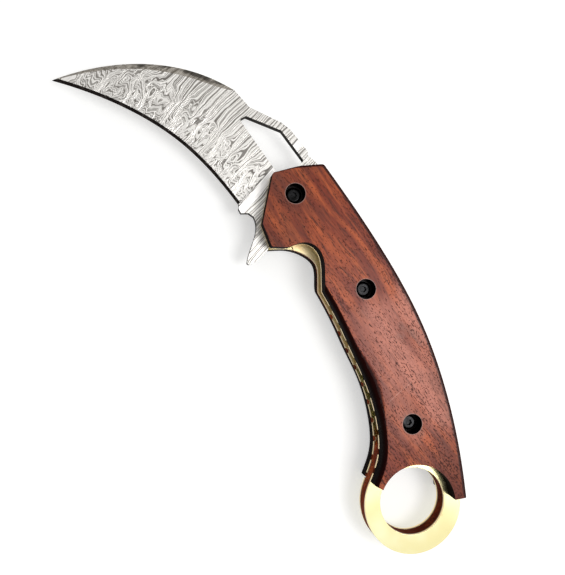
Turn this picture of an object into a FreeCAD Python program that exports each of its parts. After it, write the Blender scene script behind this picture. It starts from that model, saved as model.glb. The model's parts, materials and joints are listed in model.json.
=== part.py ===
"""Folding karambit: a hooked blade that folds between two brass liners with a finger ring.

Millimetres. The origin is the centre of the finger ring, on the blade's middle plane.
+X runs from the pivot to the ring, +Y to the spine of the handle, and +Z to the front scale.
"""
import FreeCAD, Part
import math
import os

os.makedirs("parts", exist_ok=True)
V = FreeCAD.Vector

# ---- driving dimensions ------------------------------------------------------------------
blade_reach = 90.0              # pivot centre to blade tip
drawn_reach = 90.0              # the reach that the blade's outline points are written for
blade_thickness = 3.3
fold_angle = 140.0              # degrees from open to closed
edge_half = 0.34                # half thickness of the blade just behind the cutting bevel
edge_land = 0.06                # half thickness left at the very edge
flank_slope = 0.077             # rise of the main grind per millimetre from the edge
bevel_slope = 0.33              # rise of the cutting bevel per millimetre from the edge
bevel_run = 3.0                 # how far in the cutting bevel's cutter reaches
swedge_slope = 0.40             # rise of the spine's false edge per millimetre
swedge_half = 0.62              # half thickness of the spine along the false edge
swedge_tip_half = 0.25          # the same at the tip, where the blade is thinner
swedge_thick = 0.6              # share of the spine, from the tip, where it reaches its whole half
swedge_run = 4.5                # how far in the false edge's cutter reaches
swedge_full = 0.85              # share of the spine, from the tip, with the whole false edge

ring_bore_radius = 12.0
ring_wall = 5.9                 # brass around the finger hole
tip_room = 8.7                  # solid handle between the folded tip and the ring's outside
ring_shift = 0.9                # the ring's outside is this much nearer the butt than its bore
arch_ledge = 1.8                # brass left showing between the scale's arch and the bore
arch_shift = 0.6                # the arch's centre is this much nearer the pivot than the bore's
arch_start = 75.0               # where the scale ends on the spine side, degrees about the ring
arch_end = 222.0                # where the scale ends on the finger side

liner_thickness = 1.3
scale_thickness = 6.0
washer_thickness = 0.5
washer_radius = 6.0
running_gap = 0.05              # clearance of the blade to its washers, and round the pivot
press_gap = 0.02                # clearance of pins and barrels in the liners

handle_front = 9.3              # pivot centre to the front edge of the handle
spine_rise = 25.8               # height of the spine over the line from pivot to ring
bolster_drop = 14.3             # depth of the handle below the pivot

pivot_radius = 2.5
stop_pin_radius = 2.0
stop_gap = 0.10                 # clearance of the stop pin to the blade's two shoulders
tang_radius = 8.0               # round hub of the blade
lock_lug = 1.1                  # how far the corner of the lock face stands over the hub
shoulder_under = 0.5            # the open shoulder ends this much under the stop pin's far side
shoulder_over = 0.4             # the closed shoulder reaches this much over it
lug_clear = 0.2                 # clearance of that corner under the stop pin

middle_screw_from_pivot = 39.5
middle_screw_height = 10.9
rear_screw_behind = 9.4         # rear screw to the ring's outside
rear_screw_height = 8.7
standoff_radius = 2.25
screw_radius = 1.5              # M3 button head screws
screw_gap = 0.05                # thread clearance in the standoffs
screw_hole_gap = 0.15           # clearance hole in scale and liner
screw_end = 0.25                # screw tips stop this far from the middle plane
head_radius = 2.8
head_height = 1.65
head_round = 1.0                # rounding of the button head
socket_across = 2.0             # hexagon across flats
socket_depth = 1.0
head_gap = 0.7                  # air round the screw head in its counterbore
counterbore_floor = 0.8         # wood left under the screw head

lock_length = 58.0              # lock bar, root to tip
lock_low = -5.5                 # lower side of the bar's tip
lock_high = 4.6                 # slit above the bar's tip
lock_root_high = 6.4            # slit above the bar's root
lock_gap = 0.35                 # saw slit between bar and liner
lock_root_gap = 0.10            # hairline where the bar bends at its root
lock_face_gap = 0.25            # bar tip to the tang
lock_swing = 1.6                # degrees the bar can be pressed outward
relief_margin = 0.35            # air around the pressed bar in the back scale
relief_start = 0.15             # depth of the back scale's pocket at the bar's root
detent_ball_radius = 0.8
detent_stand = 0.25             # height of the ball over the bar
detent_from_tip = 4.2
detent_height = -0.5
detent_pit = 0.35               # depth of the ball's pit in the blade

spacer_width = 5.0              # rosewood strip along the spine
spacer_front = 31.0             # pivot centre to the strip's front end
spacer_web = 3.6                # ring's outside to the channel side of the solid butt
spacer_lean = 1.5               # how far the channel's end leans back over the rear screw
spacer_over_screw = 3.0         # rear screw's centre to where that end turns into the strip
spacer_turn = 35.0              # length of the spine, from the ring, where strip and butt meet

grip_round = 2.1                # width of the scales' rounding on the finger side
grip_round_depth = 3.0
finger_flat = 3.3               # how much wider it grows where the middle finger lies
finger_flat_depth = 0.9         # and how much deeper
finger_flat_place = 0.48        # share of the finger side where it is widest
finger_flat_run = 0.14          # share over which it fades
spine_round = 1.2               # rounding of the scales along the spine

file_notch_radius = 1.1         # half round file work along the finger side
file_notch_depth = 0.75
file_notch_pitch = 6.8

# ---- levels and places that follow -------------------------------------------------------
ring_outer = ring_bore_radius + ring_wall
pivot_x = -(blade_reach + tip_room + ring_outer)
blade_half = blade_thickness / 2
lug_radius = tang_radius + lock_lug
stop_pin_reach = lug_radius + lug_clear + stop_pin_radius
counterbore_radius = head_radius + head_gap
liner_in = blade_half + running_gap + washer_thickness
liner_out = liner_in + liner_thickness
scale_out = liner_out + scale_thickness
head_seat = liner_out + counterbore_floor
arch_radius = ring_bore_radius + arch_ledge
lock_tip_x = pivot_x + tang_radius + lock_face_gap
lock_root_x = lock_tip_x + lock_length
pivot = V(pivot_x, 0, 0)
middle_screw = V(pivot_x + middle_screw_from_pivot, middle_screw_height, 0)
rear_screw = V(-ring_outer - rear_screw_behind, rear_screw_height, 0)
screws = {"pivot": pivot, "middle": middle_screw, "rear": rear_screw}
detent_level = detent_stand - detent_ball_radius - liner_in
detent_centre = V(lock_tip_x + detent_from_tip, detent_height, detent_level)
arch_centre = V(-arch_shift, 0, 0)
MARGIN = 1.0                    # how far cutting shapes run past what they cut
ROUND_START = 0.08              # the rounding's sections start this far off the faces they meet
SAME_PLACE = 0.05               # corners nearer than this are the same one


# ---- drawing helpers ---------------------------------------------------------------------
def disc(centre, radius, low, high):
    """An upright cylinder between two levels."""
    return Part.makeCylinder(radius, high - low, V(centre.x, centre.y, low))


def tube(centre, outer, inner, low, high):
    """An upright tube between two levels."""
    return disc(centre, outer, low, high).cut(disc(centre, inner, low - MARGIN, high + MARGIN))


def prism(edges, low, high):
    """A plate between two levels from a closed chain of edges drawn at z = 0."""
    face = Part.Face(Part.Wire(Part.__sortEdges__(edges)))
    face.translate(V(0, 0, low))
    return face.extrude(V(0, 0, high - low))


def polygon(points):
    """The edges of a closed polygon."""
    return [Part.LineSegment(a, b).toShape() for a, b in zip(points, points[1:] + points[:1])]


def chain(points):
    """Straight edges from each point to the next."""
    return [Part.LineSegment(a, b).toShape() for a, b in zip(points, points[1:])]


def curve(points, first=None, last=None):
    """A smooth curve through points, with its two end directions where they are given."""
    spline = Part.BSplineCurve()
    if first is None:
        spline.interpolate(points)
    else:
        spline.interpolate(Points=points, InitialTangent=first, FinalTangent=last)
    return spline


def arc(centre, radius, start, end):
    """An arc about a centre, anticlockwise between two angles in degrees."""
    circle = Part.Circle(centre, V(0, 0, 1), radius)
    return Part.ArcOfCircle(circle, math.radians(start), math.radians(end)).toShape()


def around(centre, radius, angle):
    """The point at a radius and an angle in degrees about a centre."""
    return centre + V(radius * math.cos(math.radians(angle)), radius * math.sin(math.radians(angle)), 0)


def upright_edges(solid, corners):
    """The upright edges of a plate that stand at the given corners."""
    found = []
    for edge in solid.Edges:
        a, b = edge.Vertexes[0].Point, edge.Vertexes[-1].Point
        upright = abs(a.x - b.x) < 1e-4 and abs(a.y - b.y) < 1e-4 and abs(a.z - b.z) > 0.1
        if upright and any(math.hypot(a.x - c.x, a.y - c.y) < SAME_PLACE for c in corners):
            found.append(edge)
    return found


def mirrored(solid):
    """The same solid on the other side of the middle plane."""
    return solid.mirror(V(0, 0, 0), V(0, 0, 1))


def save(name, solid):
    """Write one node."""
    solid.exportStep(f"parts/{name}.step")
    print(f"{name:20s} solids {len(solid.Solids)} volume {solid.Volume:9.1f} valid {solid.isValid()}")


# ---- outline of the handle ---------------------------------------------------------------
def along(share, height):
    """A point by its share of the way from the pivot to the ring, and its height."""
    return V(pivot_x * (1 - share), height, 0)


front_low = pivot + V(-handle_front, -4.6, 0)
front_mid = pivot + V(1.0 - handle_front, 5.8, 0)
front_high = pivot + V(3.1 - handle_front, 13.4, 0)
bolster_front = pivot + V(5.5, -bolster_drop, 0)
bolster_rear = pivot + V(14.0, -bolster_drop, 0)
kink = pivot + V(35.0, -2.8, 0)
ring_centre = V(ring_shift, 0, 0)
grip_end_angle = 226.0          # where the finger side runs into the ring's outside
spine_end_angle = 74.0          # where the ring's outside runs into the spine
grip_end = around(ring_centre, ring_outer, grip_end_angle)
spine_end = around(ring_centre, ring_outer, spine_end_angle)
grip_end_run = around(V(0, 0, 0), 1, grip_end_angle + 90)
spine_end_run = around(V(0, 0, 0), 1, spine_end_angle + 90)


def beyond(share, height):
    """A point by its share of the way from the kink to the ring, and its height."""
    return V(kink.x * (1 - share), height, 0)


grip_curve = curve(
    [kink, beyond(0.143, -1.4), beyond(0.286, -0.8), beyond(0.414, -0.2), beyond(0.543, -0.6),
     beyond(0.657, -2.3), beyond(0.757, -5.6), grip_end],
    V(1, 0.15, 0), grip_end_run)
spine_curve = curve(
    [spine_end, along(0.83, 0.895 * spine_rise), along(0.66, 0.985 * spine_rise),
     along(0.55, spine_rise), along(0.42, 0.965 * spine_rise), along(0.20, 0.80 * spine_rise), front_high],
    spine_end_run, V(-1, -0.27, 0))


def choil(thumb_cut):
    """The hollow behind the bolster. The front side is cut deeper, so a thumb reaches the lock bar."""
    up_from_bolster = V(0.35, 1, 0)
    down_to_kink = V(1, -0.38, 0)
    points = [pivot + V(16.7, -7.0, 0), pivot + V(21.0, -1.9, 0),
              pivot + V(25.4, 0.2, 0), pivot + V(30.0, -0.8, 0)]
    if thumb_cut:
        points = [pivot + V(16.2, -8.6, 0), pivot + V(16.3, -4.6, 0), pivot + V(19.2, -0.1, 0),
                  pivot + V(24.0, 0.9, 0), pivot + V(29.5, -0.7, 0)]
    return curve([bolster_rear] + points + [kink], up_from_bolster, down_to_kink).toShape()


def handle_plate(low, high, thumb_cut):
    """The whole outline of the handle, ring included, as a plate with the bolster's corners eased."""
    high_round = 1.5
    low_round = 0.7
    edges = chain([front_high, front_mid, front_low, bolster_front, bolster_rear])
    edges.append(choil(thumb_cut))
    edges.append(grip_curve.toShape())
    edges.append(arc(ring_centre, ring_outer, grip_end_angle, 360 + spine_end_angle))
    edges.append(spine_curve.toShape())
    plate = prism(edges, low, high)
    plate = plate.makeFillet(high_round, upright_edges(plate, [front_high]))
    return plate.makeFillet(low_round, upright_edges(plate, [front_low, bolster_front, bolster_rear]))


# ---- liners, lock bar and spacer ---------------------------------------------------------
def file_work(plate, low, high, phase):
    """Half round notches along the finger side of one liner, in step with its phase."""
    grip = grip_curve.toShape()
    place = file_notch_pitch * (1 + phase)
    while place < grip.Length - file_notch_radius:
        here = grip.getParameterByLength(place)
        run = grip.tangentAt(here)
        outward = V(run.y, -run.x, 0)
        centre = grip.valueAt(here) + outward * (file_notch_radius - file_notch_depth)
        plate = plate.cut(disc(centre, file_notch_radius, low - MARGIN, high + MARGIN))
        place += file_notch_pitch
    return plate


def liner(low, high, thumb_cut, phase):
    """A brass liner with its ring, its pin holes and its file work."""
    plate = handle_plate(low, high, thumb_cut)
    plate = plate.cut(disc(V(0, 0, 0), ring_bore_radius, low - MARGIN, high + MARGIN))
    plate = plate.cut(disc(pivot, pivot_radius + press_gap, low - MARGIN, high + MARGIN))
    plate = plate.cut(disc(stop_pin_centre, stop_pin_radius + press_gap, low - MARGIN, high + MARGIN))
    for place in (middle_screw, rear_screw):
        plate = plate.cut(disc(place, screw_radius + screw_hole_gap, low - MARGIN, high + MARGIN))
    return file_work(plate, low, high, phase)


def lock_outline(grow, root_grow):
    """The bar's footprint as a tall block, grown by a clearance at its sides and at its root."""
    points = [
        V(lock_tip_x - grow, lock_low - grow, 0),
        V(lock_root_x + root_grow, lock_low - grow, 0),
        V(lock_root_x + root_grow, lock_root_high + grow, 0),
        V(lock_tip_x - grow, lock_high + grow, 0),
    ]
    return prism(polygon(points), -scale_out, scale_out)


def make_spacer():
    """The rosewood back: a strip along the spine that widens to the solid butt round the ring."""
    plate = handle_plate(-liner_in, liner_in, False)
    top = spine_curve.toShape()
    turn = top.getParameterByLength(spacer_turn)
    inner = []
    steps = 4
    for i in range(steps + 1):
        place = turn + (top.LastParameter - turn) * i / steps
        run = top.tangentAt(place)
        inner.append(top.valueAt(place) + V(-run.y, run.x, 0) * spacer_width)
    web_x = -ring_outer - spacer_web
    web_high = V(web_x - spacer_lean, rear_screw_height + spacer_over_screw, 0)
    below = -2 * bolster_drop
    front = inner[-1] + V(-2 * handle_front, -spacer_width, 0)
    edges = [curve([web_high] + inner).toShape()]
    edges += chain([inner[-1], front, V(front.x, below, 0), V(web_x, below, 0), web_high])
    channel = prism(edges, -liner_in - MARGIN, liner_in + MARGIN)
    plate = plate.cut(channel)
    plate = plate.cut(disc(pivot, spacer_front, -liner_in - MARGIN, liner_in + MARGIN))
    plate = plate.cut(disc(V(0, 0, 0), ring_bore_radius, -liner_in - MARGIN, liner_in + MARGIN))
    return max(plate.Solids, key=lambda s: s.Volume)


# ---- blade -------------------------------------------------------------------------------
def at(forward, height):
    """A point of the blade in front of its tang, from the pivot, that moves with the reach."""
    return pivot + V(forward, height, 0) * (blade_reach / drawn_reach)


def by(forward, height):
    """A point of the tang, from the pivot, that stays when the reach changes."""
    return pivot + V(forward, height, 0)


stop_pin_centre = around(pivot, stop_pin_reach, 90.0)
tip = at(-65.4, -61.9)
heel = at(-3.9, -18.4)
swedge_root = at(-42.0, -4.9)
edge_curve = curve([heel, at(-16.4, -22.3), at(-32.0, -29.5), at(-47.1, -40.8), tip])
back_curve = curve([tip, at(-65.2, -50.0), at(-60.6, -30.0), at(-49.5, -11.5), swedge_root])


def blade_plate():
    """The flat blank: hook, thumb loop, hub with its two shoulders, and the flipper tab.

    The shoulders stop the blade on the stop pin: one when it is open, one when it is closed.
    """
    shoulder = stop_pin_radius + stop_gap
    stop_pin_top = stop_pin_reach + stop_pin_radius
    open_low = V(-shoulder, math.sqrt(tang_radius ** 2 - shoulder ** 2), 0)
    open_angle = math.degrees(math.atan2(open_low.y, open_low.x))
    open_high = by(-shoulder, stop_pin_top - shoulder_under)
    radial = around(V(0, 0, 0), 1, 90.0 - fold_angle)
    beside = V(radial.y, -radial.x, 0) * shoulder
    close_low = radial * math.sqrt(lug_radius ** 2 - shoulder ** 2) + beside
    close_high = radial * (stop_pin_top + shoulder_over) + beside
    close_angle = math.degrees(math.atan2(close_low.y, close_low.x))
    lug_low = V(tang_radius, -math.sqrt(lug_radius ** 2 - tang_radius ** 2), 0)
    lug_angle = math.degrees(math.atan2(lug_low.y, lug_low.x))
    flipper_root = by(13.7, -14.2)
    flipper_tip = [by(16.7, -22.9), by(16.1, -23.4)]
    notch = [by(1.6, -15.2), by(-0.2, -16.4), by(-1.1, -18.9), by(-2.9, -19.1)]

    edges = [back_curve.toShape()]
    edges += chain([
        swedge_root, at(-34.9, -2.2), at(-26.0, 6.6), at(-22.6, 8.7), at(-13.0, 11.8),
        at(-12.2, 11.1), by(-8.2, 13.3), by(-3.1, 13.2), open_high, pivot + open_low,
    ])
    edges.append(arc(pivot, tang_radius, 0.0, open_angle))
    edges += chain([by(tang_radius, 0), pivot + lug_low])
    edges.append(arc(pivot, lug_radius, close_angle, lug_angle))
    edges += chain([pivot + close_low, pivot + close_high, flipper_root])
    edges.append(curve([flipper_root, by(16.1, -18.6), flipper_tip[0]]).toShape())
    edges += chain(flipper_tip)
    edges.append(curve([flipper_tip[1], by(10.6, -19.3), by(5.2, -15.6), notch[0]]).toShape())
    edges += chain(notch + [heel])
    edges.append(edge_curve.toShape())
    return prism(edges, -blade_half, blade_half)


def thumb_loop():
    """The thumb opening between the arm and the blade."""
    corners = [at(-32.0, -7.1), at(-10.4, -1.7), at(-9.2, 5.0),
               at(-10.6, 9.1), at(-23.4, 5.5), at(-32.4, -4.6)]
    hole = prism(polygon(corners), -blade_half - MARGIN, blade_half + MARGIN)
    corner_round = 0.7
    return hole.makeFillet(corner_round, upright_edges(hole, corners))


def grind(line, shares, side, reach, level, slope, plunge=None):
    """A cutter that slopes up from a line of the blade's outline towards its middle.

    level(share) is the half thickness left at the line; side turns the line's direction inward.
    plunge, where it is given, is the direction of the last section across the blade.
    """
    shape = line.toShape()
    sections = []
    for share in shares:
        inside = min(max(share, 0.0), 1.0)
        here = shape.FirstParameter + inside * (shape.LastParameter - shape.FirstParameter)
        run = shape.tangentAt(here)
        point = shape.valueAt(here) + run * ((share - inside) * shape.Length)
        inward = V(-run.y, run.x, 0) * side
        if plunge is not None and share == shares[0]:
            inward = plunge
        outer = point - inward * 2 * MARGIN
        inner = point + inward * reach
        left = level(inside)
        low = V(outer.x, outer.y, left - slope * 2 * MARGIN)
        high = V(inner.x, inner.y, left + slope * reach)
        top = blade_half + 2 * MARGIN
        sections.append(Part.makePolygon([low, high, V(high.x, high.y, top), V(low.x, low.y, top), low]))
    return Part.makeLoft(sections, True, False)


def spine_half(share):
    """Half thickness left along the spine: the false edge runs out towards the arm."""
    grown = min(1.0, share / swedge_thick)
    left = swedge_tip_half + (swedge_half - swedge_tip_half) * grown
    fade = max(0.0, (share - swedge_full) / (1 - swedge_full))
    return left + (blade_half - left) * fade ** 2


def make_blade():
    """The blade with its flat grind, cutting bevel, false edge, pivot hole and detent pit."""
    plate = blade_plate().cut(thumb_loop())
    plunge = (at(-11.4, -4.2) - heel).normalize()
    along_edge = (0.005, 0.2, 0.4, 0.6, 0.8, 1.0, 1.06)
    along_back = (-0.04, 0.0, 0.2, 0.4, 0.6, 0.85, 0.93, 1.0)
    flank_run = (blade_half + 0.3 - edge_half) / flank_slope
    flank = grind(edge_curve, along_edge, -1, flank_run, lambda share: edge_half, flank_slope, plunge)
    bevel = grind(edge_curve, along_edge, -1, bevel_run, lambda share: edge_land, bevel_slope, plunge)
    swedge = grind(back_curve, along_back, -1, swedge_run, spine_half, swedge_slope)
    for cutter in (flank, bevel, swedge):
        plate = plate.cut(cutter).cut(mirrored(cutter))
    plate = plate.cut(disc(pivot, pivot_radius + running_gap, -blade_half - MARGIN, blade_half + MARGIN))
    ball = detent_centre - pivot
    angle = math.degrees(math.atan2(ball.y, ball.x)) - fold_angle
    pit = around(pivot, math.hypot(ball.x, ball.y), angle)
    plate = plate.cut(disc(pit, detent_ball_radius, -blade_half - MARGIN, detent_pit - blade_half))
    return max(plate.Solids, key=lambda s: s.Volume)


# ---- scales ------------------------------------------------------------------------------
def scale_blank(low, high, thumb_cut):
    """A scale's outline: the handle without the ring, arched round the finger hole."""
    plate = handle_plate(low, high, thumb_cut)
    far = 4 * ring_outer
    wedge = [V(0, 0, 0)]
    steps = 6
    for i in range(steps + 1):
        angle = arch_end + (360 + arch_start - arch_end) * i / steps
        wedge.append(around(V(0, 0, 0), far, angle))
    plate = plate.cut(prism(polygon(wedge), low - MARGIN, high + MARGIN))
    plate = plate.cut(disc(arch_centre, arch_radius, low - MARGIN, high + MARGIN))
    return max(plate.Solids, key=lambda s: s.Volume)


def rim_edges(plate, level, line):
    """The long edges of a plate's face at a level that run along a line of the outline."""
    tolerance = 0.3
    shortest = 5.0
    shape = line.toShape()
    shape.translate(V(0, 0, level))
    found = []
    for edge in plate.Edges:
        middle = edge.valueAt((edge.FirstParameter + edge.LastParameter) / 2)
        flat = all(abs(v.Point.z - level) < 1e-3 for v in edge.Vertexes) and abs(middle.z - level) < 1e-3
        if flat and edge.Length > shortest and Part.Vertex(middle).distToShape(shape)[0] < tolerance:
            found.append(edge)
    return found


def bored(plate):
    """Screw holes and counterbores from the outer face, drawn for the front scale."""
    for place in screws.values():
        plate = plate.cut(disc(place, screw_radius + screw_hole_gap, liner_out - MARGIN, scale_out + MARGIN))
        plate = plate.cut(disc(place, counterbore_radius, head_seat, scale_out + MARGIN))
    return plate


def grip_rounding():
    """What the rounding of the front scale's finger side takes away, drawn as rounded sections."""
    grip = grip_curve.toShape()
    sections = []
    steps = 20
    for i in range(-1, steps + 1):
        share = i / steps
        inside = max(share, 0.0)
        here = grip.FirstParameter + inside * (grip.LastParameter - grip.FirstParameter)
        run = grip.tangentAt(here)
        point = grip.valueAt(here) + run * ((share - inside) * grip.Length)
        inward = V(-run.y, run.x, 0)
        swell = math.exp(-((share - finger_flat_place) / finger_flat_run) ** 2)
        width = grip_round + finger_flat * swell
        depth = grip_round_depth + finger_flat_depth * swell
        low = point - inward * ROUND_START + V(0, 0, scale_out - depth)
        corner = point - inward * ROUND_START + V(0, 0, scale_out + ROUND_START)
        high = point + inward * width + V(0, 0, scale_out + ROUND_START)
        bend = Part.BezierCurve()
        bend.setPoles([low, corner, high])
        above = high + V(0, 0, MARGIN)
        outside = V(low.x, low.y, above.z) - inward * MARGIN
        below = V(outside.x, outside.y, low.z)
        edges = [bend.toShape()] + chain([high, above, outside, below, low])
        sections.append(Part.Wire(edges))
    return Part.makeLoft(sections, True, False)


def make_scale(thumb_cut):
    """A rosewood scale on the front side, its finger side well rounded and its spine eased."""
    plate = scale_blank(liner_out, scale_out, thumb_cut)
    plate = plate.makeFillet(spine_round, rim_edges(plate, scale_out, spine_curve))
    plate = plate.cut(grip_rounding())
    return max(bored(plate).Solids, key=lambda s: s.Volume)


def relief():
    """The sloped pocket that lets the lock bar be pressed outward into the back scale."""
    drop = math.tan(math.radians(lock_swing)) * (lock_length + relief_margin) + relief_margin
    root = lock_root_x + relief_margin
    front = lock_tip_x - relief_margin
    points = [V(front, 0, -liner_out + MARGIN), V(root, 0, -liner_out + MARGIN),
              V(root, 0, -liner_out - relief_start), V(front, 0, -liner_out - drop)]
    face = Part.Face(Part.makePolygon(points + points[:1]))
    face.translate(V(0, -2 * bolster_drop, 0))
    wedge = face.extrude(V(0, 4 * bolster_drop, 0))
    return wedge.common(lock_outline(relief_margin, relief_margin))


# ---- fasteners and small pieces ----------------------------------------------------------
def button_screw(place):
    """A button head screw on the front side, with a hexagon socket."""
    top = head_seat + head_height
    shank = disc(place, screw_radius, screw_end, head_seat)
    head = disc(place, head_radius, head_seat, top)
    rim = [edge for edge in head.Edges if abs(edge.CenterOfMass.z - top) < 1e-3]
    head = head.makeFillet(head_round, rim)
    corner = socket_across / math.sqrt(3)
    hexagon = [around(place, corner, 60 * i) for i in range(6)]
    return shank.fuse(head).cut(prism(polygon(hexagon), top - socket_depth, top + MARGIN))


if __name__ == "__main__":
    front_liner = liner(liner_in, liner_out, True, 0.0)
    back_plate = liner(-liner_out, -liner_in, False, 0.5)
    lock_bar = back_plate.common(lock_outline(0, 0))
    ball_seat = Part.makeSphere(detent_ball_radius + press_gap, detent_centre)
    lock_bar = lock_bar.cut(ball_seat)
    back_liner = back_plate.cut(lock_outline(lock_gap, lock_root_gap))

    save("front_liner", front_liner)
    save("back_liner", back_liner)
    save("lock_bar", lock_bar)
    save("detent_ball", Part.makeSphere(detent_ball_radius, detent_centre))
    save("back_spacer", make_spacer())
    save("blade", make_blade())
    save("front_scale", make_scale(True))
    save("back_scale", mirrored(make_scale(False)).cut(relief()))

    barrel = tube(pivot, pivot_radius, screw_radius + screw_gap, -liner_out, liner_out)
    save("pivot_barrel", barrel)
    washer = tube(pivot, washer_radius, pivot_radius + running_gap, liner_in - washer_thickness, liner_in)
    save("washer_front", washer)
    save("washer_back", mirrored(washer))
    save("stop_pin", disc(stop_pin_centre, stop_pin_radius, -liner_out, liner_out))
    for name in ("middle", "rear"):
        standoff = tube(screws[name], standoff_radius, screw_radius + screw_gap, -liner_in, liner_in)
        save(f"{name}_standoff", standoff)
    for name, place in screws.items():
        screw = button_screw(place)
        save(f"{name}_screw_front", screw)
        save(f"{name}_screw_back", mirrored(screw))
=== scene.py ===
"""The look of a folding hook knife with a finger ring: edges, materials, floor, light and camera."""

import json
import math

import bmesh
import bpy
from mathutils import Matrix, Vector


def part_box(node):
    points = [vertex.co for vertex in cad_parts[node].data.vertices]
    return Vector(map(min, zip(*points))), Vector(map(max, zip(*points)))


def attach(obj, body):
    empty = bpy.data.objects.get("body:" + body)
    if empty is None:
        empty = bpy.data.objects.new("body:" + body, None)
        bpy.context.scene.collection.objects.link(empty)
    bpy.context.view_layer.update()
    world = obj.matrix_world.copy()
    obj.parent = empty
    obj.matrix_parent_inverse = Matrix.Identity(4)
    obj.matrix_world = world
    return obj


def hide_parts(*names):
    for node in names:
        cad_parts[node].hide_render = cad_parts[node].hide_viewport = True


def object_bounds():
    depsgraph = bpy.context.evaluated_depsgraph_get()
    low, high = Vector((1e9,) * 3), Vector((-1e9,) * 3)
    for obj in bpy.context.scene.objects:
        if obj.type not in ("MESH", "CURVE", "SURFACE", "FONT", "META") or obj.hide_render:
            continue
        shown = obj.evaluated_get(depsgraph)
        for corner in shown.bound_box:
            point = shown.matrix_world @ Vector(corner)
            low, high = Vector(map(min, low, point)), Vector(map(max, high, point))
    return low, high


MM = 0.001
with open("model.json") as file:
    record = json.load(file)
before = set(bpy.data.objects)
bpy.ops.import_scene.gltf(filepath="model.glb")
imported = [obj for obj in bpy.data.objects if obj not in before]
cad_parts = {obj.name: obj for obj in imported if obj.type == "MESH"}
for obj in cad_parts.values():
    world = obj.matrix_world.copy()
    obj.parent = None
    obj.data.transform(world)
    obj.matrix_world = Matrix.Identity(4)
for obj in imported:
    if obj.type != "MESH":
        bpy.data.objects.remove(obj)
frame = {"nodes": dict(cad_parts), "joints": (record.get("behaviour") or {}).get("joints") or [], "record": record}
cad_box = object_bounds()

# ---- places read from the frame -------------------------------------------------------------
# The floor's level is in metres. Other places are in millimetres.
FLOOR_LEVEL = cad_box[0].z
PIVOT = [v / MM for v in next(j for j in frame["joints"] if j["name"] == "blade_fold")["pos_m"]]
SCREW_PLACES = ("pivot", "middle", "rear")


def centre_of(node):
    """The middle of a CAD node's box, in millimetres."""
    low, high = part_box(node)
    return [(a + b) / 2 / MM for a, b in zip(low, high)]


def top_of(node):
    """The highest level of a CAD node, in millimetres."""
    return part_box(node)[1][2] / MM


LINER_FACE = top_of("front_liner")
SCREWS = [centre_of(place + "_screw_front") for place in SCREW_PLACES]


# ---- writing shader nodes as sums -----------------------------------------------------------
class Value:
    """A number that varies over the surface. Sums and products of values make the nodes for them."""

    def __init__(self, shader, socket):
        self.shader = shader
        self.socket = socket

    def __add__(self, other):
        return self.shader.math("ADD", self, other)

    def __radd__(self, other):
        return self.shader.math("ADD", other, self)

    def __sub__(self, other):
        return self.shader.math("SUBTRACT", self, other)

    def __rsub__(self, other):
        return self.shader.math("SUBTRACT", other, self)

    def __mul__(self, other):
        return self.shader.math("MULTIPLY", self, other)

    def __abs__(self):
        return self.shader.math("ABSOLUTE", self)


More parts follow.
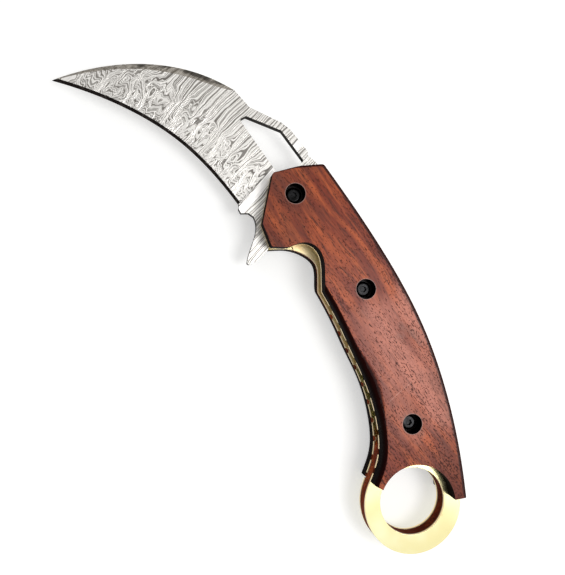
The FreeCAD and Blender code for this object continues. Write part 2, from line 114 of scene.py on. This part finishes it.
class Shader:
    """A material whose nodes are written as short calls. Places are in millimetres of the knife's frame."""

    def __init__(self, name):
        self.material = bpy.data.materials.new(name)
        self.material.use_nodes = True
        self.nodes = self.material.node_tree.nodes
        self.links = self.material.node_tree.links
        self.nodes.clear()
        output = self.nodes.new("ShaderNodeOutputMaterial")
        self.surface = self.nodes.new("ShaderNodeBsdfPrincipled")
        self.links.new(self.surface.outputs[0], output.inputs["Surface"])
        coordinates = self.nodes.new("ShaderNodeTexCoord")
        self.x, self.y, self.z = [v * (1 / MM) for v in self.split(coordinates.outputs["Object"])]
        self.facing = self.split(coordinates.outputs["Normal"])

    def put(self, node, key, value):
        """Sets an input to a number, a colour or what another node gives."""
        socket = node.inputs[key]
        if isinstance(value, Value):
            self.links.new(value.socket, socket)
        elif isinstance(value, bpy.types.NodeSocket):
            self.links.new(value, socket)
        elif socket.type == "RGBA":
            socket.default_value = (*value, 1.0)
        else:
            socket.default_value = value

    def math(self, operation, *values):
        node = self.nodes.new("ShaderNodeMath")
        node.operation = operation
        for key, value in enumerate(values):
            self.put(node, key, value)
        return Value(self, node.outputs[0])

    def most(self, *values):
        """The largest of some values."""
        result = values[0]
        for value in values[1:]:
            result = self.math("MAXIMUM", result, value)
        return result

    def split(self, vector):
        node = self.nodes.new("ShaderNodeSeparateXYZ")
        self.put(node, 0, vector)
        return [Value(self, output) for output in node.outputs]

    def point(self, *parts):
        node = self.nodes.new("ShaderNodeCombineXYZ")
        for key, part in enumerate(parts):
            self.put(node, key, part)
        return Value(self, node.outputs[0])

    def noise(self, point, detail=2.0, roughness=0.5):
        """Smooth noise round 0 with cells one unit wide, at a point or along one number."""
        node = self.nodes.new("ShaderNodeTexNoise")
        single = not isinstance(point, tuple)
        node.noise_dimensions = "1D" if single else "3D"
        self.put(node, "W" if single else "Vector", point if single else self.point(*point))
        self.put(node, "Scale", 1.0)
        self.put(node, "Detail", detail)
        self.put(node, "Roughness", roughness)
        return Value(self, node.outputs["Fac"]) - 0.5

    def step(self, value, low, high):
        """0 where the value is at low and 1 at high, with a smooth change between them."""
        node = self.nodes.new("ShaderNodeMapRange")
        node.interpolation_type = "SMOOTHSTEP"
        self.put(node, "Value", value)
        self.put(node, "From Min", low)
        self.put(node, "From Max", high)
        return Value(self, node.outputs["Result"])

    def band(self, value, middle, half, soft):
        """1 within half of the middle, 0 beyond half + soft."""
        return self.step(abs(value - middle), half + soft, half)

    def mix(self, share, first, second):
        """A colour between two colours."""
        node = self.nodes.new("ShaderNodeMix")
        node.data_type = "RGBA"
        self.put(node, 0, share)
        self.put(node, 6, first)
        self.put(node, 7, second)
        return Value(self, node.outputs[2])

    def lerp(self, share, first, second):
        """A number between two numbers."""
        node = self.nodes.new("ShaderNodeMix")
        node.data_type = "FLOAT"
        self.put(node, 0, share)
        self.put(node, 2, first)
        self.put(node, 3, second)
        return Value(self, node.outputs[0])

    def bump(self, height, depth):
        """Relief of the surface: a height of 1 stands depth millimetres proud."""
        node = self.nodes.new("ShaderNodeBump")
        self.put(node, "Height", height)
        self.put(node, "Distance", depth * MM)
        self.put(node, "Strength", 1.0)
        self.put(self.surface, "Normal", node.outputs[0])

    def finish(self, **inputs):
        """Sets the inputs of the surface, written with _ for a space, and gives the material."""
        for name, value in inputs.items():
            self.put(self.surface, name.replace("_", " "), value)
        return self.material


# ---- materials --------------------------------------------------------------------------------
# Colours are linear red, green and blue. Places and widths are in millimetres.
PLUNGE_LEFT, PLUNGE_DOWN = 3.9, 18.4    # from the pivot to a point of the line where the ground part starts
BORE_EDGE = 3.62                        # the rim of a counterbore
BORE_DARK = 3.5                         # inside this a counterbore is fully black with painted shade


def turned(x, y, run, rise):
    """x and y in axes turned so that the first one goes run across and rise up."""
    return x * run + y * rise, y * run - x * rise


def etched_layers(steel, place, across, along, on_tang):
    """How dark the etched layers are, and where the zigzag lines of the tip take over.

    The lines are straight near the spine and on the tang. They curl and break up near the edge.
    """
    x, y, z = place
    border = y - x * 0.5 + 0.3 + steel.noise((x * 0.09, y * 0.09, z)) * 16.0
    calm = steel.most(steel.step(border, -5.0, 3.5), on_tang)
    bend = steel.noise((across * 0.15, along * 0.055, z * 0.2), detail=1.0)
    curl = steel.noise((across * 0.36, along * 0.12, z * 0.3 + 7.0), detail=1.0)
    ripple = steel.noise((across, along * 0.30, z * 0.3 + 9.0), detail=1.0)
    wild = bend * 24.0 + curl * 8.5 + ripple * 1.8
    gentle = bend * 3.0 + curl * 0.9 + ripple * 0.4
    wander = steel.lerp(calm, wild, gentle)
    at_tip = steel.step(along, -27.0, -36.0)
    zigzag = steel.math("PINGPONG", across + curl * 2.0, 1.4) * at_tip * 2.2
    field = steel.lerp(at_tip, across, along * 1.6) + wander * (1.0 - at_tip * 0.88) + zigzag
    layers = steel.noise(field * 1.5, detail=2.0, roughness=0.55)
    fine = steel.noise(field * 3.9 + 40.0, detail=1.0)
    return layers + fine * 0.6, at_tip


def ground_faces(steel, place, across, along, line, at_tip):
    """The blade's sloping faces: a brushed, scorched false edge and a cutting edge painted nearly black as a
    painted dark reflection, with painted glints.
    """
    brushed_dark, brushed_light, burnt = (0.21, 0.185, 0.15), (0.66, 0.61, 0.54), (0.030, 0.025, 0.020)
    edge_reflection_dark, edge_glint_colour = (0.014, 0.011, 0.010), (0.050, 0.042, 0.037)
    x, y, z = place
    edge_side = steel.step(steel.facing[0] - steel.facing[1], -0.05, 0.05)
    brushed = steel.noise((across * 0.8, along * 0.35, z), detail=4.0, roughness=0.7)
    false_edge = steel.mix(steel.step(line * 0.25 + brushed, -0.12, 0.38), brushed_dark, brushed_light)
    heat = steel.noise((x * 0.14, y * 0.10, z * 0.5 + 3.0), detail=4.0) + at_tip * 0.08
    false_edge = steel.mix(steel.step(heat, -0.01, 0.12) * 0.8, false_edge, burnt)
    # The cutting edge is painted nearly black as a painted dark reflection, with small painted glints.
    painted_glint = steel.step(steel.noise((x * 0.5, y * 0.5, z * 2.0), detail=3.0), 0.02, 0.25)
    edge = steel.mix(painted_glint, edge_reflection_dark, edge_glint_colour)
    return steel.mix(edge_side, false_edge, edge)


def patterned_steel():
    """Etched layered steel, with a plain strip and a dark line of painted shade where the ground part starts."""
    light, dark, darker = (0.90, 0.875, 0.835), (0.235, 0.22, 0.20), (0.11, 0.10, 0.092)
    haze, plain, shadow = (0.44, 0.42, 0.39), (0.90, 0.88, 0.86), (0.12, 0.115, 0.11)
    steel = Shader("patterned_steel")
    x, y, z = steel.x - PIVOT[0], steel.y, steel.z
    flat = abs(steel.facing[2])
    across, along = turned(x, y, 0.91, 0.42)
    past_plunge = (x + PLUNGE_LEFT) * 0.884 + (y + PLUNGE_DOWN) * 0.467
    on_tang = steel.step(past_plunge, -0.1, 0.2)
    level, at_tip = etched_layers(steel, (x, y, z), across, along, on_tang)
    line = steel.step(level, 0.07, -0.05)
    colour = steel.mix(line, dark, light)
    colour = steel.mix(steel.step(level, 0.14, 0.24) * 0.6, colour, darker)
    cloud = steel.noise((x * 0.09, y * 0.09, z * 0.1), detail=3.0)
    colour = steel.mix(steel.step(cloud, -0.2, 0.25) * 0.22, colour, haze)
    colour = steel.mix(steel.band(past_plunge, 1.7, 1.2, 0.3) * 0.8, colour, plain)
    # Painted shade: a dark line along the plunge, where the ground part starts.
    colour = steel.mix(steel.band(past_plunge, 0.0, 0.10, 0.15) * 0.75, colour, shadow)
    sloping = steel.step(flat, 0.985, 0.975)
    colour = steel.mix(sloping, colour, ground_faces(steel, (x, y, z), across, along, line, at_tip))
    steel.bump(line, depth=0.012)
    rough = steel.lerp(line, 0.46, 0.30) + steel.noise((x * 1.5, y * 0.4, z), detail=3.0) * 0.12
    return steel.finish(Base_Color=colour, Metallic=1.0, Roughness=rough)


def sooty_steel():
    """The blade's steep sides: rough, nearly black scale from the forge."""
    black, grey_scale = (0.010, 0.008, 0.007), (0.070, 0.060, 0.052)
    steel = Shader("sooty_steel")
    soot = steel.noise((steel.x * 0.6, steel.y * 0.6, steel.z * 2.5), detail=3.0)
    colour = steel.mix(steel.step(soot, -0.15, 0.3), black, grey_scale)
    steel.bump(soot, depth=0.03)
    rough = 0.75 + soot * 0.2
    return steel.finish(Base_Color=colour, Metallic=0.0, Roughness=rough, Specular_IOR_Level=0.15)


def spine_places(shares):
    """Places along the handle's spine, in millimetres, read from the front scale's outline."""
    mesh = frame["nodes"]["front_scale"].data
    low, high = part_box("front_scale")
    points = []
    for share in shares:
        x = low[0] + (high[0] - low[0]) * share
        top = low[1]
        for edge in mesh.edges:
            a, b = (mesh.vertices[v].co for v in edge.vertices)
            if (a.x - x) * (b.x - x) < 0.0:
                top = max(top, a.y + (b.y - a.y) * (x - a.x) / (b.x - a.x))
        points.append((x / MM, top / MM))
    return points


# Shares of the scale's length from the pivot end, closer together where the spine turns down.
SPINE_SHARES = [0.001, 0.012, 0.024, 0.036, 0.05, 0.07, 0.09]
SPINE_SHARES += [0.15, 0.25, 0.35, 0.45, 0.55, 0.65, 0.75, 0.85, 0.99]
SPINE = spine_places(SPINE_SHARES)


def spine_level(wood):
    """The height of the spine over the place that is shaded, in millimetres."""
    level = SPINE[0][1]
    for (x0, y0), (x1, y1) in zip(SPINE, SPINE[1:]):
        node = wood.nodes.new("ShaderNodeMapRange")
        wood.put(node, "Value", wood.x)
        wood.put(node, "From Min", x0)
        wood.put(node, "From Max", x1)
        wood.put(node, "To Max", y1 - y0)
        level = Value(wood, node.outputs["Result"]) + level
    return level


def grain(wood):
    """The wood's colour with a painted sheen over the middle of the handle, and its fibres, fine hairs, mottle and
    pores as values.
    """
    red, orange, brown = (0.200, 0.030, 0.011), (0.460, 0.095, 0.026), (0.058, 0.011, 0.006)
    sheen_rose, bright_fibre, shade = (0.530, 0.180, 0.120), (0.58, 0.15, 0.05), (0.150, 0.030, 0.018)
    sheen_light, grey_patch = (0.66, 0.30, 0.22), (0.150, 0.085, 0.065)
    dark_streak, dark_end, pore_dark = (0.105, 0.030, 0.018), (0.120, 0.016, 0.006), (0.045, 0.010, 0.007)
    x, y, z = wood.x - PIVOT[0], wood.y, wood.z
    along, across = turned(x, y, 0.968, 0.25)
    across = across + wood.noise((along * 0.035, across * 0.09, z * 0.09), detail=2.0) * 4.5
    figure = wood.noise((along * 0.028, across * 0.30, z * 0.3), detail=4.0, roughness=0.6)
    fibre = wood.noise((along * 0.13, across * 1.35, z * 1.35), detail=4.0, roughness=0.7)
    hair = wood.noise((along * 0.45, across * 4.6, z * 4.6), detail=2.0)
    mottle = wood.noise((along * 0.9, across * 1.9, z * 1.9), detail=3.0, roughness=0.65)
    crowding = wood.noise((along * 0.05, across * 0.14, z * 0.14 + 5.0), detail=1.0)
    # The middle of the handle, where the painted sheen lies.
    painted_sheen_zone = wood.step(x, 30.0, 56.0) * wood.step(x, 106.0, 88.0)
    rear = wood.step(x, 50.0, 75.0)
    pores = wood.noise((along * 0.55, across * 3.4, z * 3.4), detail=0.0) + crowding * 0.25 + rear * 0.03
    specks = wood.noise((along * 1.5, across * 2.4, z * 2.4 + 2.0), detail=0.0)
    specks = specks + crowding * 0.30 + rear * 0.05
    pore = wood.most(wood.step(pores, 0.20, 0.25), wood.step(specks, 0.205, 0.26))
    colour = wood.mix(wood.step(figure + fibre * 0.25, -0.10, 0.14), red, orange)
    # Painted sheen: a pale rose highlight over the middle of the handle, on its spine half, that also hides some
    # dark fibres.
    painted_sheen = wood.noise((along * 0.03, across * 0.11, z * 0.1 + 9.0), detail=2.0)
    painted_sheen = wood.step(painted_sheen + painted_sheen_zone * 0.36, 0.10, 0.42) * 0.85 * wood.step(y, -1.0, 13.0)
    colour = wood.mix(painted_sheen, colour, sheen_rose)
    colour = wood.mix(wood.step(fibre, -0.02, 0.19) * (0.88 - painted_sheen_zone * 0.40), colour, brown)
    colour = wood.mix(wood.step(fibre, -0.06, -0.28) * 0.45, colour, bright_fibre)
    colour = wood.mix(wood.step(mottle, 0.02, 0.30) * 0.50, colour, shade)
    colour = wood.mix(wood.step(mottle, -0.06, -0.30) * 0.30 * painted_sheen_zone, colour, sheen_light)
    colour = wood.mix(wood.step(hair, 0.05, 0.28) * 0.50, colour, brown)
    patches = wood.noise((along * 0.06, across * 0.10, z * 0.1 + 21.0), detail=3.0)
    colour = wood.mix(wood.step(patches, 0.10, 0.26) * 0.50, colour, grey_patch)
    broad = wood.noise((along * 0.035, across * 0.07, z * 0.05 + 31.0), detail=2.0)
    colour = wood.mix(wood.step(broad, -0.04, 0.20) * 0.55, colour, dark_streak)
    colour = wood.mix(wood.step(x, 96.0, 124.0) * 0.55, colour, dark_end)
    colour = wood.mix(pore * 0.88, colour, pore_dark)
    return colour, fibre, hair, mottle, pore


def worn_line(wood, colour, mottle):
    """Adds one faint, pale line that curves down across the scale."""
    top, left, middle, reach = 16.5, 41.5, 9.5, 7.0
    pale = (0.75, 0.42, 0.34)
    down = top - wood.y
    beside = wood.x + left - down * 0.22 - down * down * 0.006
    scratch = wood.band(beside, 0.0, 0.05, 0.22)
    scratch = scratch * wood.step(abs(wood.y - middle), reach, 4.0) * wood.step(mottle, 0.15, -0.15)
    return wood.mix(scratch * 0.3, colour, pale)


def paint_edge_shade(wood, colour, flat):
    """Paints shade on the wood's rim and its steep sides, less on the lit spine wall, and most of all on what
    slopes to the finger side.
    """
    rim_red, side_red, black = (0.022, 0.002, 0.0015), (0.016, 0.003, 0.002), (0.004, 0.0015, 0.0015)
    rim_full, rim_end = 1.05, 1.65
    # Painted shade: the finger side faces away from the light, and is darkest low down near the liners.
    finger_side = wood.step(wood.facing[1], 0.10, -0.25)
    sloping = wood.step(flat, 0.985, 0.86)
    height = wood.step(abs(wood.z), LINER_FACE + 3.0, LINER_FACE + 5.9)
    finger_shade = finger_side * sloping * (1.0 - height * 0.45)
    rim = wood.most(wood.step(flat, 0.997, 0.93), wood.step(spine_level(wood) - wood.y, rim_end, rim_full))
    spine_wall = wood.step(wood.facing[1], 0.0, 0.3) * wood.step(flat, 0.6, 0.3)
    colour = wood.mix(rim * (0.97 - spine_wall * 0.55), colour, rim_red)
    colour = wood.mix(wood.step(flat, 0.80, 0.5) * (0.8 - spine_wall * 0.65), colour, side_red)
    return wood.mix(finger_shade * 0.97, colour, black)


def darken_bores(wood, colour, flat):
    """Paints shade in the counterbores, black, and leaves a pale rim round each, part wear and part painted
    highlight.
    """
    black, pale = (0.003, 0.002, 0.002), (0.40, 0.27, 0.24)
    for screw in SCREWS:
        dx, dy = wood.x - screw[0], wood.y - screw[1]
        reach = wood.math("SQRT", dx * dx + dy * dy)
        # Painted shade in the recess of each counterbore.
        colour = wood.mix(wood.step(reach, BORE_EDGE, BORE_DARK) * 0.97, colour, black)
        rim_wear_and_highlight = wood.band(reach, BORE_EDGE, 0.02, 0.14) * wood.step(flat, 0.5, 0.9)
        colour = wood.mix(rim_wear_and_highlight * 0.55, colour, pale)
    return colour


def rosewood(name, polished, scratched_and_shaded=True):
    """Oiled rosewood: slanting fibres, dark pores, a painted sheen over the middle, and painted shade round its
    edges and in its bores.

    The broad faces are polished. The steep sides are dull.
    """
    wood = Shader(name)
    flat = abs(wood.facing[2])
    colour, fibre, hair, mottle, pore = grain(wood)
    if scratched_and_shaded:
        colour = worn_line(wood, colour, mottle)
        colour = paint_edge_shade(wood, colour, flat)
    colour = darken_bores(wood, colour, flat)
    wood.bump(fibre * 0.4 + hair * 0.3 - pore, depth=0.05)
    if polished:
        rough = 0.38 + fibre * 0.15 + pore * 0.3
        return wood.finish(Base_Color=colour, Roughness=rough, Specular_IOR_Level=0.20,
                           Coat_Weight=0.05, Coat_Roughness=0.2)
    return wood.finish(Base_Color=colour, Roughness=0.70 + fibre * 0.2, Specular_IOR_Level=0.02)


def brass(name, dark, light, roughness):
    """Pale brass with fine rubbing marks, a few stains, and painted shade on its steep sides towards the blade."""
    tarnish, shade_brown = (0.55, 0.36, 0.09), (0.055, 0.035, 0.018)
    shade_start, shade_full = LINER_FACE - 0.70, LINER_FACE - 0.95
    alloy = Shader(name)
    x, y, z = alloy.x, alloy.y, alloy.z
    cloud = alloy.noise((x * 0.08, y * 0.08, z * 0.3), detail=4.0)
    rub = alloy.noise((x * 0.5, y * 4.0, z * 4.0), detail=3.0, roughness=0.7)
    spots = alloy.noise((x * 0.45, y * 0.45, z * 0.45), detail=3.0)
    colour = alloy.mix(alloy.step(cloud, -0.2, 0.25), dark, light)
    colour = alloy.mix(alloy.step(spots, 0.19, 0.30) * 0.35, colour, tarnish)
    # Painted shade on the steep sides between the liners, towards the blade.
    painted_gap_shade = alloy.step(abs(z), shade_start, shade_full) * alloy.step(abs(alloy.facing[2]), 0.6, 0.3)
    colour = alloy.mix(painted_gap_shade * 0.85, colour, shade_brown)
    rough = roughness + cloud * 0.10 + rub * 0.12
    alloy.bump(rub, depth=0.004)
    return alloy.finish(Base_Color=colour, Metallic=1.0, Roughness=rough)


def metal(name, dark, light, roughness):
    """Plain machined metal with cloudy tone and fine turning marks."""
    alloy = Shader(name)
    cloud = alloy.noise((alloy.x * 0.6, alloy.y * 0.6, alloy.z * 0.6), detail=3.0)
    marks = alloy.noise((alloy.x * 2.0, alloy.y * 2.0, alloy.z * 9.0), detail=2.0)
    colour = alloy.mix(alloy.step(cloud + marks * 0.4, -0.25, 0.25), dark, light)
    alloy.bump(marks, depth=0.006)
    return alloy.finish(Base_Color=colour, Metallic=1.0, Roughness=roughness + marks * 0.15)


DULL_WOOD = rosewood("rosewood_sides", polished=False)
INNER_WOOD = rosewood("rosewood_inner", polished=False, scratched_and_shaded=False)
SOOT = sooty_steel()
FILED_BRASS = brass("filed_brass", dark=(0.90, 0.68, 0.36), light=(0.96, 0.80, 0.50), roughness=0.36)
MATERIALS = {
    "rosewood": rosewood("rosewood", polished=True),
    "brass": brass("polished_brass", dark=(0.92, 0.83, 0.43), light=(0.95, 0.90, 0.56), roughness=0.20),
    "bronze": metal("bronze", dark=(0.42, 0.25, 0.11), light=(0.62, 0.42, 0.22), roughness=0.38),
    "patterned_steel": patterned_steel(),
    "steel": metal("ground_steel", dark=(0.42, 0.42, 0.43), light=(0.62, 0.62, 0.63), roughness=0.32),
    "black_steel": metal("black_oxide", dark=(0.006, 0.006, 0.006), light=(0.020, 0.020, 0.021),
                         roughness=0.30),
}


# ---- pieces -------------------------------------------------------------------------------------
WELD = 0.001 * MM                   # corners closer than this become one
SAME_PLANE = math.radians(0.4)      # faces that turn less than this become one
SHARP = math.radians(35)            # edges that turn more than this are rounded
BEVEL_STEPS = 2
SCREW_EDGE = 0.07

# The nodes whose edges are rounded, and by how many millimetres. The others are shown as they are.
ROUNDED = {
    "blade": 0.04,
    "front_scale": 0.22,
    "back_scale": 0.22,
    "front_liner": 0.10,
    "back_liner": 0.10,
    "lock_bar": 0.06,
    "back_spacer": 0.15,
}
for place in SCREW_PLACES:
    ROUNDED[place + "_screw_front"] = SCREW_EDGE
    ROUNDED[place + "_screw_back"] = SCREW_EDGE

# Edges that turn more than this stay creased in the shading.
PLAIN_CREASE = math.radians(50)
CREASE = {"blade": math.radians(5)}

# A face whose normal's z is less than this, up or down, is a steep side, with its slot's side material.
STEEP = {"rosewood": 0.9, "patterned_steel": 0.4, "brass": 0.4}
SIDES = {"rosewood": DULL_WOOD, "patterned_steel": SOOT, "brass": FILED_BRASS}

# The nodes with a material of their own instead of their slot's.
OWN_FACE = {"lock_bar": FILED_BRASS}
OWN_SIDES = {"back_spacer": INNER_WOOD}


def soften(node, width, body, slot):
    """Adds a copy of a CAD node with its sharp edges rounded by width millimetres, to stand for the node."""
    work = bmesh.new()
    work.from_mesh(frame["nodes"][node].data)
    bmesh.ops.remove_doubles(work, verts=work.verts, dist=WELD)
    bmesh.ops.dissolve_limit(work, angle_limit=SAME_PLANE, verts=work.verts, edges=work.edges)
    edges = [e for e in work.edges if e.is_manifold and e.calc_face_angle(0.0) > SHARP]
    bmesh.ops.bevel(work, geom=edges, offset=width * MM, offset_type="OFFSET", segments=BEVEL_STEPS,
                    profile=0.5, affect="EDGES", clamp_overlap=True)
    mesh = bpy.data.meshes.new(node + "_finished")
    work.to_mesh(mesh)
    work.free()
    mesh.polygons.foreach_set("use_smooth", [True] * len(mesh.polygons))
    mesh.set_sharp_from_angle(angle=CREASE.get(node, PLAIN_CREASE))
    piece = bpy.data.objects.new(node + "_finished", mesh)
    bpy.context.scene.collection.objects.link(piece)
    shading = piece.modifiers.new("normals", "WEIGHTED_NORMAL")
    shading.keep_sharp = True
    mesh.materials.append(OWN_FACE.get(node, MATERIALS[slot]))
    if slot in STEEP:
        mesh.materials.append(OWN_SIDES.get(node, SIDES[slot]))
        steep = [int(abs(face.normal.z) < STEEP[slot]) for face in mesh.polygons]
        mesh.polygons.foreach_set("material_index", steep)
    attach(piece, body)
    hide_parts(node)


body_of = {node: body for body, nodes in frame["record"]["behaviour"]["bodies"].items() for node in nodes}
slot_of = {part["node"]: part["material_slot"] for part in frame["record"]["subparts"]}
for node, cad_object in frame["nodes"].items():
    if node in ROUNDED:
        soften(node, ROUNDED[node], body_of[node], slot_of[node])
    else:
        cad_object.data.materials.clear()
        cad_object.data.materials.append(MATERIALS[slot_of[node]])


# ---- floor, light and camera -------------------------------------------------------------------
FLOOR_HALF = 3.0                    # in metres
PAPER = (0.72, 0.72, 0.71, 1.0)
PAPER_GLOW = 0.42
STUDIO_BRIGHT_SIDE = (0.10, 0.45, 0.88)
STUDIO_LEVELS = ((0.0, 0.22), (0.40, 0.48), (0.78, 0.95))


def grey(level):
    """A neutral colour for a socket."""
    return (level, level, level, 1.0)


def make_floor():
    """A pale table that keeps the knife's shadow and looks white where it is open.

    Its glow is seen by the camera and in reflections, and lights nothing.
    """
    mesh = bpy.data.meshes.new("floor")
    signs = ((-1, -1), (1, -1), (1, 1), (-1, 1))
    mesh.from_pydata([(x * FLOOR_HALF, y * FLOOR_HALF, FLOOR_LEVEL) for x, y in signs], [], [(0, 1, 2, 3)])
    floor = bpy.data.objects.new("floor", mesh)
    bpy.context.scene.collection.objects.link(floor)
    material = bpy.data.materials.new("floor")
    material.use_nodes = True
    nodes, links = material.node_tree.nodes, material.node_tree.links
    nodes.clear()
    output = nodes.new("ShaderNodeOutputMaterial")
    paper = nodes.new("ShaderNodeBsdfDiffuse")
    paper.inputs["Color"].default_value = PAPER
    glow = nodes.new("ShaderNodeEmission")
    glow.inputs["Color"].default_value = grey(1.0)
    path = nodes.new("ShaderNodeLightPath")
    seen = nodes.new("ShaderNodeMath")
    seen.operation = "MAXIMUM"
    links.new(path.outputs["Is Camera Ray"], seen.inputs[0])
    links.new(path.outputs["Is Glossy Ray"], seen.inputs[1])
    strength = nodes.new("ShaderNodeMath")
    strength.operation = "MULTIPLY"
    strength.inputs[1].default_value = PAPER_GLOW
    links.new(seen.outputs[0], strength.inputs[0])
    links.new(strength.outputs[0], glow.inputs["Strength"])
    both = nodes.new("ShaderNodeAddShader")
    links.new(paper.outputs[0], both.inputs[0])
    links.new(glow.outputs[0], both.inputs[1])
    links.new(both.outputs[0], output.inputs["Surface"])
    mesh.materials.append(material)


def make_world():
    """A studio that is bright above and behind the spine and dimmer low on the finger side.

    The camera sees it as plain white.
    """
    world = bpy.data.worlds.new("studio")
    bpy.context.scene.world = world
    world.use_nodes = True
    nodes, links = world.node_tree.nodes, world.node_tree.links
    nodes.clear()
    output = nodes.new("ShaderNodeOutputWorld")
    background = nodes.new("ShaderNodeBackground")
    coordinates = nodes.new("ShaderNodeTexCoord")
    lean = nodes.new("ShaderNodeVectorMath")
    lean.operation = "DOT_PRODUCT"
    lean.inputs[1].default_value = STUDIO_BRIGHT_SIDE
    links.new(coordinates.outputs["Generated"], lean.inputs[0])
    ramp = nodes.new("ShaderNodeValToRGB")
    dim, middle, bright = STUDIO_LEVELS
    stops = ramp.color_ramp.elements
    stops[0].position, stops[0].color = dim[0], grey(dim[1])
    stops[1].position, stops[1].color = bright[0], grey(bright[1])
    stops.new(middle[0]).color = grey(middle[1])
    links.new(lean.outputs["Value"], ramp.inputs[0])
    path = nodes.new("ShaderNodeLightPath")
    mix = nodes.new("ShaderNodeMix")
    mix.data_type = "RGBA"
    links.new(path.outputs["Is Camera Ray"], mix.inputs[0])
    links.new(ramp.outputs[0], mix.inputs[6])
    mix.inputs[7].default_value = grey(1.0)
    links.new(mix.outputs[2], background.inputs["Color"])
    links.new(background.outputs[0], output.inputs["Surface"])


def softbox(name, place, target, size, power):
    """A square lamp at a place, aimed at a target, all in metres."""
    data = bpy.data.lights.new(name, "AREA")
    data.shape = "SQUARE"
    data.size = size
    data.energy = power
    lamp = bpy.data.objects.new(name, data)
    lamp.location = place
    lamp.rotation_mode = "QUATERNION"
    lamp.rotation_quaternion = (Vector(target) - Vector(place)).to_track_quat("-Z", "Y")
    bpy.context.scene.collection.objects.link(lamp)


def make_camera():
    """The camera looks down on the knife from above, a little from the finger side.

    eye is its place in millimetres. right and back are its axes.
    """
    data = bpy.data.cameras.new("camera")
    data.sensor_width = 36.0
    data.lens = 37.57
    camera = bpy.data.objects.new("camera", data)
    eye = Vector((-94.84, -48.02, 210.20))
    right = Vector((0.36849, 0.91626, 0.15712))
    back = Vector((-0.03155, -0.15659, 0.98716))
    up = back.cross(right)
    axes = Matrix((right, up, back)).transposed()
    camera.matrix_world = Matrix.Translation(eye * MM) @ axes.to_4x4()
    bpy.context.scene.collection.objects.link(camera)
    bpy.context.scene.camera = camera


make_floor()
make_world()
softbox("key", place=(0.05, 0.155, 0.50), target=(-0.06, 0.0, 0.0), size=0.20, power=1.1)
make_camera()
bpy.context.scene.view_settings.view_transform = "Standard"
